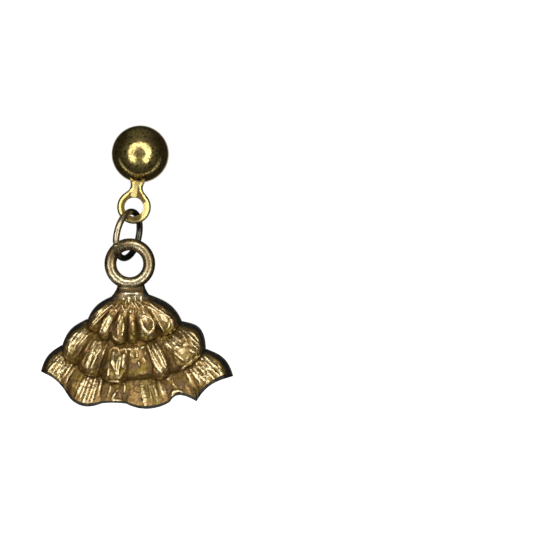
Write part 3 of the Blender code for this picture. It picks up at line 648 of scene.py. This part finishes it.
def makeNeck():
    bpy.ops.mesh.primitive_torus_add(
        major_segments=96, minor_segments=32, major_radius=ringRadius * mm,
        minor_radius=skirt["ringWire"] / 2 * mm, location=ringCentre, rotation=(pi / 2, 0, 0))
    piece = newPiece("drop_ring_casting")
    settle(piece)
    middle = (fanPoint.x, neck["middle"] * mm, ringCentre.z - ringRadius * mm)
    drop, width, depth = neck["rows"][0]
    bpy.ops.mesh.primitive_circle_add(vertices=48, radius=mm / 2, fill_type="NGON", location=middle)
    collar = newPiece("collar")
    collar.scale = (width, depth, 1)
    settle(collar)
    editing(True)
    bpy.ops.mesh.select_mode(type="FACE")
    bpy.ops.mesh.select_all(action="SELECT")
    for newDrop, newWidth, newDepth in neck["rows"][1:]:
        step = (0, 0, (drop - newDrop) * mm)
        bpy.ops.mesh.extrude_region_move(TRANSFORM_OT_translate={"value": step})
        bpy.ops.transform.resize(
            value=(newWidth / width, newDepth / depth, 1), center_override=middle)
        drop, width, depth = newDrop, newWidth, newDepth
    editing(False)
    faceOut(collar)
    added = [collar]
    for x, y, z, *sizes in neck["bars"]:
        bpy.ops.mesh.primitive_uv_sphere_add(
            segments=32, ring_count=16, radius=mm, location=(x * mm, y * mm, z * mm))
        bar = newPiece("bar")
        bar.scale = sizes
        settle(bar)
        added.append(bar)
    for other in added:
        applyModifier(piece, "BOOLEAN", operation="UNION", object=other, solver="EXACT")
        bpy.data.objects.remove(other)
    applyModifier(piece, "REMESH", mode="VOXEL", voxel_size=neck["voxel"] * mm)
    applyModifier(piece, "SMOOTH", factor=0.5, iterations=neck["smoothing"])
    # Painted shade on the collar below the ring's foot, deepest at its sides, and a painted dark reflection round
    # the ring's outer edge, heavier on the right; a painted highlight low on the ring, fading to darker at its
    # top, and a painted glint; darker where the jump ring sits; worn bright on the bars
    places = readPoints(piece) / mm
    x, y, z = (places - np.array(ringCentre) / mm).T
    below = falling(z, neck["crease"][0] - ringOuter, neck["crease"][1])
    aside = rising(np.abs(places[:, 0] - fanPoint.x / mm), *neck["aside"])
    outward = (np.hypot(x, z) - ringRadius) / (skirt["ringWire"] / 2)
    leaning = neck["borderLean"] * np.clip(x, *neck["borderTurn"])
    border = rising(outward + leaning, *neck["border"]) * (1 - below)
    glint = falling(np.linalg.norm(np.stack((x, y, z), axis=1) - neck["glintPlace"], axis=1), *neck["glint"])
    seat = falling(np.linalg.norm(places - np.array(ringSeat) / mm, axis=1), *neck["seat"])
    paintedHighlight = np.clip(-z / ringRadius, *neck["lowHighlight"])
    levels = neck["levels"]
    wearAndPaintedLight = levels["base"] + levels["lowHighlight"] * paintedHighlight + levels["seat"] * seat + levels["glint"] * glint
    wearAndPaintedLight += (levels["crease"] + levels["aside"] * aside) * below + levels["border"] * border
    for bar in np.array(neck["bars"]):
        onBar = np.linalg.norm((places - bar[:3]) / (bar[3:] * neck["barReach"]), axis=1) < 1
        wearAndPaintedLight[onBar] = levels["bar"]
    giveWearAndPaintedLight(piece, wearAndPaintedLight)
    smooth(piece, 80)
    return piece


# Stud: ball, drop loop and ear post, soldered together
stud = {
    "ballSegments": 128, "ballRings": 64, "postDiameter": 0.8, "postSides": 48, "postChamfer": 0.2,
    "cap": 0.06, "solder": ((0.1, 0.86), (0.12, 0.84), (0.14, 0.9)),  # how far out and in each step goes
}
loop = {
    "hole": 1.98, "band": 0.79, "thickness": 0.6, "edge": 0.1, "neckLength": 0.78, "neckWidth": 1.28,
    "padWidth": 2.6, "padLap": 0.75, "contact": radians(15), "join": radians(42), "turn": radians(7.6),
    "points": 60, "rings": (0.3, 0.59, 0.74, 0.87, 1),
    # How far in from the outline each slope starts, and how much further it drops
    "slopes": ((0.34, 0.035), (0.22, 0.05), (0.12, 0.06), (0.03, 0.11)),
    # Painted highlights: a line inside the rim, the right of the band, a strip up the neck and the pad. The rim
    # has painted dark shade.
    "line": (0.35, 0.1), "lineMost": 0.7, "bandSide": (0.75, 0.35), "bandTop": (0.9, 0.5),
    "stripMiddle": -0.18, "strip": (0.38, 0.16), "stripFoot": (1, 0.1), "pad": (2.1, 0.25),
    "rim": (0.16, 0.12), "rimDark": 1.4,
}
ballRadius = studHigh.z
ballCentre = Vector((0, studLow.y + ballRadius, 0))


def makeBall():
    bpy.ops.mesh.primitive_uv_sphere_add(
        segments=stud["ballSegments"], ring_count=stud["ballRings"], radius=ballRadius,
        location=ballCentre, rotation=(pi / 2, 0, 0))
    piece = newPiece("stud_ball")
    settle(piece)
    # Solder round the foot of the post: the cap behind is raised and drawn in
    postRadius = stud["postDiameter"] / 2 * mm
    back = ballCentre.y + ballRadius
    selectWhere(piece, "FACE", lambda c: c.y > back - stud["cap"] * mm)
    for rise, shrink in stud["solder"]:
        bpy.ops.mesh.extrude_region_move(TRANSFORM_OT_translate={"value": (0, rise * mm, 0)})
        bpy.ops.transform.resize(value=(shrink, 1, shrink), center_override=(0, back, 0))
    editing(False)
    smooth(piece, 50)
    return piece


def makePost():
    start = ballCentre.y + ballRadius / 2
    length = studHigh.y - start
    bpy.ops.mesh.primitive_cylinder_add(
        vertices=stud["postSides"], radius=stud["postDiameter"] / 2 * mm, depth=length,
        location=(0, start + length / 2, 0), rotation=(pi / 2, 0, 0))
    piece = newPiece("ear_post")
    settle(piece)
    selectWhere(piece, "FACE", lambda c: c.y > studHigh.y - 0.01 * mm)
    bpy.ops.mesh.bevel(offset=stud["postChamfer"] * mm, segments=5, affect="EDGES")
    editing(False)
    smooth(piece)
    return piece


def makeDropLoop():
    hole, band = loop["hole"] / 2 * mm, loop["band"] * mm
    outer = hole + band
    # Ring of faces, lying flat, with the ball towards +Y
    bpy.ops.mesh.primitive_circle_add(vertices=loop["points"], radius=hole)
    piece = newPiece("drop_loop")
    focus(piece)
    editing(True)
    bpy.ops.mesh.select_mode(type="EDGE")
    bpy.ops.mesh.select_all(action="SELECT")
    before = hole
    for share in loop["rings"]:
        reach = hole + band * share
        bpy.ops.mesh.extrude_region_move()
        bpy.ops.transform.resize(value=(reach / before, reach / before, 1), center_override=(0, 0, 0))
        before = reach
    editing(False)
    # Neck: the rim towards the ball is drawn out, narrowing to the waist and widening to the pad.
    # Each row has its half-width, its place and how much of the rim's arch is left.
    joinX, joinY = outer * sin(loop["join"]), outer * cos(loop["join"])
    halfNeck, halfPad = loop["neckWidth"] / 2 * mm, loop["padWidth"] / 2 * mm
    waistY = outer + loop["neckLength"] / 2 * mm
    padY = outer + (loop["neckLength"] + loop["padLap"]) * mm
    rows = [(halfNeck + (joinX - halfNeck) * (1 - s) ** 2, joinY + (waistY - joinY) * s, (1 - s) ** 1.5)
            for s in (0.2, 0.4, 0.6, 0.8, 1.0)]
    rows += [(halfNeck + (halfPad - halfNeck) * s ** 2, waistY + (padY - waistY) * s, 0.0)
             for s in (0.25, 0.5, 0.75, 1.0)]
    rim = outer * cos(pi / loop["points"]) - 0.01 * mm
    selectWhere(piece, "EDGE", lambda c: c.length > rim and c.y > joinY)
    width, sill, arch = joinX, joinY, 1.0
    for newWidth, newSill, newArch in rows:
        bpy.ops.mesh.extrude_region_move()
        flatten = newArch / arch if arch else 1.0
        bpy.ops.transform.resize(
            value=(newWidth / width, flatten, 1), center_override=(0, sill, 0))
        bpy.ops.transform.translate(value=(0, newSill - sill, 0))
        width, sill, arch = newWidth, newSill, newArch
    editing(False)
    applyModifier(piece, "SOLIDIFY", thickness=loop["thickness"] * mm, offset=0)
    sills = [joinY] + [row[1] for row in rows]
    widths = [joinX] + [row[0] for row in rows]

    def inFrom(x, y):
        # Distance in from the outline
        return np.where(y < joinY, outer - np.hypot(x, y), np.interp(y, sills, widths) - np.abs(x))

    # The rim rounds away, front and back
    for way in (1, -1):
        for reach, drop in loop["slopes"]:
            selectWhere(piece, "VERT", lambda c: c.z * way > 0 and inFrom(c.x, c.y) < reach * mm)
            bpy.ops.transform.translate(value=(0, 0, -way * drop * mm))
            editing(False)
    applyModifier(
        piece, "BEVEL", width=loop["edge"] * mm, segments=5, limit_method="ANGLE", angle_limit=radians(50))
    applyModifier(piece, "SUBSURF", levels=1, render_levels=1)
    x, y, z = readPoints(piece).T
    inward = inFrom(x, y) / mm
    x, y = x / mm, y / mm
    line = np.minimum(falling(inward, *loop["line"]), loop["lineMost"])
    band = rising(x, *loop["bandSide"]) * falling(y, *loop["bandTop"])
    strip = falling(np.abs(x - loop["stripMiddle"]), *loop["strip"]) * rising(y, *loop["stripFoot"])
    pad = rising(y, *loop["pad"])
    rim = loop["rimDark"] * falling(inward, *loop["rim"])
    giveWearAndPaintedLight(piece, np.maximum.reduce((line, band, strip, pad)) - rim)
    loopCentre = loopSeat - hanging(loop["contact"], (loop["hole"] + loop["band"]) / 2 * mm)
    turned = Matrix.Rotation(loop["turn"], 4, "Y") @ Matrix.Rotation(pi / 2, 4, "X")
    piece.matrix_world = Matrix.Translation(loopCentre) @ turned
    settle(piece)
    smooth(piece, 40)
    return piece


# Jump ring: round wire, cut once
jump = {
    "wire": 0.69, "middle": 4.97, "cut": 0.16, "lean": radians(11.8), "turn": radians(24.4),
    "cutAngle": radians(113), "burr": 0.05, "sides": 28, "steps": 120,
}


def makeJumpRing():
    wire, radius = jump["wire"] * mm, jump["middle"] / 2 * mm
    # Lies flat about the origin first: the wire's section at the cut, then spun round
    halfCut = jump["cut"] * mm / radius / 2
    bpy.ops.mesh.primitive_circle_add(
        vertices=jump["sides"], radius=wire / 2, fill_type="NGON", location=(radius, 0, 0),
        rotation=(pi / 2, 0, 0))
    piece = newPiece("jump_ring_wire")
    settle(piece)
    focus(piece)
    editing(True)
    bpy.ops.mesh.select_all(action="SELECT")
    bpy.ops.mesh.spin(
        steps=jump["steps"], angle=2 * pi - 2 * halfCut, center=(0, 0, 0), axis=(0, 0, 1), dupli=False)
    editing(False)
    faceOut(piece)
    applyModifier(
        piece, "BEVEL", width=jump["burr"] * mm, segments=3, limit_method="ANGLE", angle_limit=radians(60))
    up = -hanging(jump["lean"], 1)
    level = Vector((-up.z, 0, up.x))
    limb = level * sin(jump["turn"]) - Vector((0, 1, 0)) * cos(jump["turn"])
    centre = jumpFoot - hanging(jump["lean"], radius)
    start = jump["cutAngle"] + halfCut
    across = up * cos(start) + limb * sin(start)
    along = limb * cos(start) - up * sin(start)
    axes = Matrix((across, along, across.cross(along))).transposed().to_4x4()
    piece.matrix_world = Matrix.Translation(centre) @ axes
    settle(piece)
    faceOut(piece)
    smooth(piece, 40)
    return piece


# Metals
antique = {
    "gold": (0.82, 0.695, 0.42), "bronze": (0.36, 0.235, 0.092), "mustard": (0.245, 0.19, 0.048),
    "patina": (0.205, 0.132, 0.022), "shade": (0.15, 0.09, 0.046), "copper": (0.5, 0.26, 0.08),
    # The darkest colour is the painted dark reflection round rims and the painted shadow along hems
    "crevice": (0.14, 0.08, 0.012), "dull": (0.255, 0.183, 0.06), "black": (0.02, 0.022, 0.019),
    # A matt mustard patch low in the middle
    "dullPlace": (0.6 * mm, -2.3 * mm, -24.3 * mm), "dullReach": (1.3 * mm, 2.3 * mm), "dullShare": 0.8,
    "grain": 0.26, "ragged": 0.6, "pits": 0.1 * mm, "rough": (0.5, 0.26),
}
# The drop's ring and collar are greyer
ringTints = {
    **antique, "gold": (0.78, 0.7, 0.48), "bronze": (0.33, 0.255, 0.14), "mustard": (0.26, 0.215, 0.115),
    "patina": (0.16, 0.125, 0.062), "shade": (0.12, 0.1, 0.062), "copper": (0.42, 0.27, 0.13),
    "grain": 0.3, "pits": 0.05 * mm, "rough": (0.36, 0.2),
}
ballTints = {
    "bright": (0.64, 0.53, 0.175), "deep": (0.49, 0.385, 0.15), "speck": (0.22, 0.16, 0.07),
    "pits": 0.03 * mm, "rough": (0.13, 0.2),
}
# The base is the face in painted shade, plating gold the painted highlights, and the rim colour a painted dark
# edge
loopTints = {
    "base": (0.4, 0.3, 0.1), "platingHighlight": (1.0, 0.83, 0.34), "rim": (0.13, 0.095, 0.04),
    "speck": (0.3, 0.2, 0.06), "ragged": 0.9, "pits": 0.02 * mm, "rough": (0.16, 0.44),
}
wireTints = {
    "dark": (0.085, 0.08, 0.06), "grey": (0.16, 0.15, 0.12), "paintedHighlight": (0.52, 0.44, 0.29),
    "foot": (0.045, 0.055, 0.045), "speck": (0.035, 0.035, 0.03),
    # The limb in front carries a painted highlight, and the foot painted shade where it passes through the drop's
    # ring
    "frontLimb": (-2 * mm, -3.4 * mm), "footStart": (-10 * mm, -10.6 * mm),
    "pits": 0.02 * mm, "rough": (0.24, 0.42),
}


def antiqueBrass(name, tints):
    n = Metal(name)
    blotch = n.noise(2.2 * mm, 4, distortion=0.4)
    speck = n.noise(0.28 * mm, 5, roughness=0.6)
    tint = n.noise(1.1 * mm, 3, shift=(3.1, 7.7, 1.3))
    # From the painted black of rims and hems through patina and bronze to gold as wear and painted light rise,
    # with a speckled border between them
    wornAndLit = n.maths("ADD", n.attribute("wearAndPaintedLight"), n.spread(speck, tints["grain"]))
    aged = n.mix(n.ramp(tint, 0.4, 0.6), tints["patina"], tints["shade"])
    body = n.mix(n.ramp(blotch, 0.5, 0.64), tints["bronze"], tints["mustard"])
    body = n.mix(n.ramp(tint, 0.58, 0.72), body, tints["copper"])
    colour = n.mix(n.ramp(wornAndLit, -0.1, -0.01), aged, body)
    colour = n.mix(n.ramp(wornAndLit, -0.01, 0.09), colour, tints["gold"])
    distance = n.add("ShaderNodeVectorMath", operation="DISTANCE")
    n.link(n.place, distance.inputs[0])
    distance.inputs[1].default_value = tints["dullPlace"]
    near = n.maths("ADD", distance.outputs["Value"], n.maths("MULTIPLY", tint, mm))
    colour = n.mix(n.ramp(near, *tints["dullReach"], tints["dullShare"], 0), colour, tints["dull"])
    colour = n.mix(n.ramp(wornAndLit, -0.2, -0.1, 1, 0), colour, tints["crevice"])
    ragged = n.maths("ADD", wornAndLit, n.spread(n.noise(0.7 * mm, 5), tints["ragged"]))
    # Painted dark reflection round rims and painted shadow along hems, ragged by noise
    colour = n.mix(n.ramp(ragged, -0.42, -0.22, 1, 0), colour, tints["black"])
    rough = n.maths("ADD", n.ramp(wornAndLit, -0.08, 0.1, *tints["rough"]), n.ramp(speck, 0.3, 0.8, -0.04, 0.06))
    metallic = n.ramp(wornAndLit, -0.16, -0.04, 0.5, 1)
    return n.finish(colour, rough, n.bump(speck, tints["pits"], 0.75), metallic)


def studBrass(tints):
    n = Metal("aged_stud_brass")
    cloud, speck = n.noise(1.8 * mm, 4), n.noise(0.25 * mm, 5)
    colour = n.mix(n.ramp(cloud, 0.35, 0.7), tints["bright"], tints["deep"])
    colour = n.mix(n.ramp(speck, 0.46, 0.62), colour, tints["speck"])
    rough = n.ramp(cloud, 0.3, 0.75, *tints["rough"])
    return n.finish(colour, rough, n.bump(speck, tints["pits"], 0.4))


def loopGold(tints):
    n = Metal("plated_loop_gold")
    cloud, speck = n.noise(0.9 * mm, 3), n.noise(0.12 * mm, 4)
    # Painted highlights in plating gold over a face in painted shade, with a painted dark rim
    wornAndLit = n.maths("ADD", n.attribute("wearAndPaintedLight"), n.spread(cloud, tints["ragged"]))
    colour = n.mix(n.ramp(wornAndLit, 0.1, 0.7), tints["base"], tints["platingHighlight"])
    colour = n.mix(n.ramp(wornAndLit, -0.5, 0, 1, 0), colour, tints["rim"])
    colour = n.mix(n.ramp(speck, 0.6, 0.78), colour, tints["speck"])
    rough = n.ramp(wornAndLit, 0.2, 0.8, *tints["rough"])
    return n.finish(colour, rough, n.bump(speck, tints["pits"], 0.3))


def blackenedWire(tints):
    n = Metal("blackened_wire")
    cloud, speck = n.noise(1 * mm, 4), n.noise(0.12 * mm, 4)
    split = n.add("ShaderNodeSeparateXYZ")
    n.link(n.place, split.inputs[0])
    colour = n.mix(n.ramp(cloud, 0.45, 0.62), tints["dark"], tints["grey"])
    # Painted highlight on the limb in front and painted shade at the foot
    colour = n.mix(n.ramp(split.outputs["Y"], *tints["frontLimb"]), colour, tints["paintedHighlight"])
    colour = n.mix(n.ramp(split.outputs["Z"], *tints["footStart"]), colour, tints["foot"])
    colour = n.mix(n.ramp(speck, 0.55, 0.72), colour, tints["speck"])
    rough = n.ramp(speck, 0.35, 0.7, *tints["rough"])
    return n.finish(colour, rough, n.bump(speck, tints["pits"], 0.4))


brass, ringBrass = antiqueBrass("antique_brass", antique), antiqueBrass("grey_brass", ringTints)
ballMetal, gold, wireMetal = studBrass(ballTints), loopGold(loopTints), blackenedWire(wireTints)
dress(makeBall(), ballMetal, "stud", "ball_stud")
dress(makePost(), ballMetal, "stud", "ball_stud")
dress(makeDropLoop(), gold, "stud", "ball_stud")
print("stud made")
dress(makeJumpRing(), wireMetal, "link", "jump_ring")
print("jump ring made")
dress(makeSkirt(), brass, "drop", "ruffled_drop")
dress(makeNeck(), ringBrass, "drop", "ruffled_drop")
print("drop made")


# Light: a dark studio with a ring lamp in front, open below, as the ball's highlight shows
studio = {
    "ringInner": 27, "ringOuter": 44, "ringSoft": 4, "ringLight": 3.4, "ringGap": 30,
    "middle": 0.22, "glow": 0.12, "back": 0.9, "over": 0.1, "edge": 1.6,
    # Where each panel starts and is full
    "glowFrom": (-0.1, 0.75), "backFrom": (0.86, 0.98), "overFrom": (0.7, 0.98),
    "edgeFrom": (-0.14, -0.09), "edgeTo": (-0.07, -0.02), "edgeBelow": (0.1, 0.45),
    "light": (1.0, 0.97, 0.92), "dark": (0.04, 0.036, 0.028), "paper": (1, 1, 1),
}


def makeWorld():
    world = bpy.data.worlds.new("studio")
    bpy.context.scene.world = world
    world.use_nodes = True
    world.node_tree.nodes.clear()
    n = Nodes(world.node_tree)

    def background(colour):
        node = n.add("ShaderNodeBackground")
        node.inputs["Color"].default_value = (*colour, 1)
        return node

    split = n.add("ShaderNodeSeparateXYZ")
    n.link(n.add("ShaderNodeTexCoord").outputs["Generated"], split.inputs[0])
    back, up = split.outputs["Y"], split.outputs["Z"]
    front = n.maths("MULTIPLY", back, -1)
    inner, outer, soft, gap = (radians(studio["ring" + key]) for key in ("Inner", "Outer", "Soft", "Gap"))
    middle = n.ramp(front, cos(outer + soft), cos(outer))
    side = n.maths("SQRT", n.maths("SUBTRACT", 1.0001, n.maths("MULTIPLY", front, front)), 0)
    below = n.maths("DIVIDE", n.maths("MULTIPLY", up, -1), side)
    ring = n.maths("MULTIPLY", middle, n.ramp(front, cos(inner), cos(inner - soft), 1, 0))
    ring = n.maths("MULTIPLY", ring, n.ramp(below, cos(gap + soft), cos(gap - soft), 1, 0))
    # Bright edge of the table, low down and just past the sides
    edge = n.maths("MULTIPLY", n.ramp(front, *studio["edgeFrom"]), n.ramp(front, *studio["edgeTo"], 1, 0))
    edge = n.maths("MULTIPLY", edge, n.ramp(below, *studio["edgeBelow"]))
    # Dim glow inside and around the ring, and soft panels behind and overhead for the other sides
    light = n.maths("MULTIPLY", ring, studio["ringLight"])
    panels = {
        "middle": middle, "glow": n.ramp(front, *studio["glowFrom"]), "back": n.ramp(back, *studio["backFrom"]),
        "over": n.ramp(up, *studio["overFrom"]), "edge": edge,
    }
    for name, panel in panels.items():
        light = n.maths("ADD", light, n.maths("MULTIPLY", panel, studio[name]))
    shine, dark, paper = (background(studio[name]) for name in ("light", "dark", "paper"))
    n.link(light, shine.inputs["Strength"])
    total = n.add("ShaderNodeAddShader")
    choose = n.add("ShaderNodeMixShader")
    output = n.add("ShaderNodeOutputWorld")
    n.link(shine.outputs[0], total.inputs[0])
    n.link(dark.outputs[0], total.inputs[1])
    # The camera sees white paper, and everything else the studio
    n.link(n.add("ShaderNodeLightPath").outputs["Is Camera Ray"], choose.inputs[0])
    n.link(total.outputs[0], choose.inputs[1])
    n.link(paper.outputs[0], choose.inputs[2])
    n.link(choose.outputs[0], output.inputs["Surface"])


makeWorld()

# Pale floor, well below the drop, that the metal doesn't mirror
ground = {"drop": 45 * mm, "size": 4, "grey": (0.9, 0.9, 0.9, 1), "rough": 0.9, "glow": 0.9}
bpy.ops.mesh.primitive_plane_add(size=ground["size"], location=(0, 0, cadBox[0].z - ground["drop"]))
floor = newPiece("floor")
floorPaint = bpy.data.materials.new("pale_floor")
floorPaint.use_nodes = True
floorShader = floorPaint.node_tree.nodes["Principled BSDF"]
floorShader.inputs["Base Color"].default_value = ground["grey"]
floorShader.inputs["Roughness"].default_value = ground["rough"]
floorShader.inputs["Specular IOR Level"].default_value = 0
floorShader.inputs["Emission Color"].default_value = (1, 1, 1, 1)
floorShader.inputs["Emission Strength"].default_value = ground["glow"]
floor.data.materials.append(floorPaint)
floor.visible_glossy = False
floor.visible_diffuse = False

# Camera: straight on, framed as the photograph is, with the earring left of the middle
view = {"frameWidth": 56.1, "centreX": 13.21, "centreZ": -11.77, "distance": 250, "sensor": 36}
cameraData = bpy.data.cameras.new("camera")
cameraData.sensor_width = view["sensor"]
cameraData.lens = view["sensor"] * view["distance"] / view["frameWidth"]
camera = bpy.data.objects.new("camera", cameraData)
camera.location = (view["centreX"] * mm, hangPlane - view["distance"] * mm, view["centreZ"] * mm)
camera.rotation_euler = (pi / 2, 0, 0)
cameraData.clip_start, cameraData.clip_end = 0.01, 10  # metres
bpy.context.scene.collection.objects.link(camera)
bpy.context.scene.camera = camera
bpy.context.scene.view_settings.view_transform = "Standard"
print("light, floor and camera made")
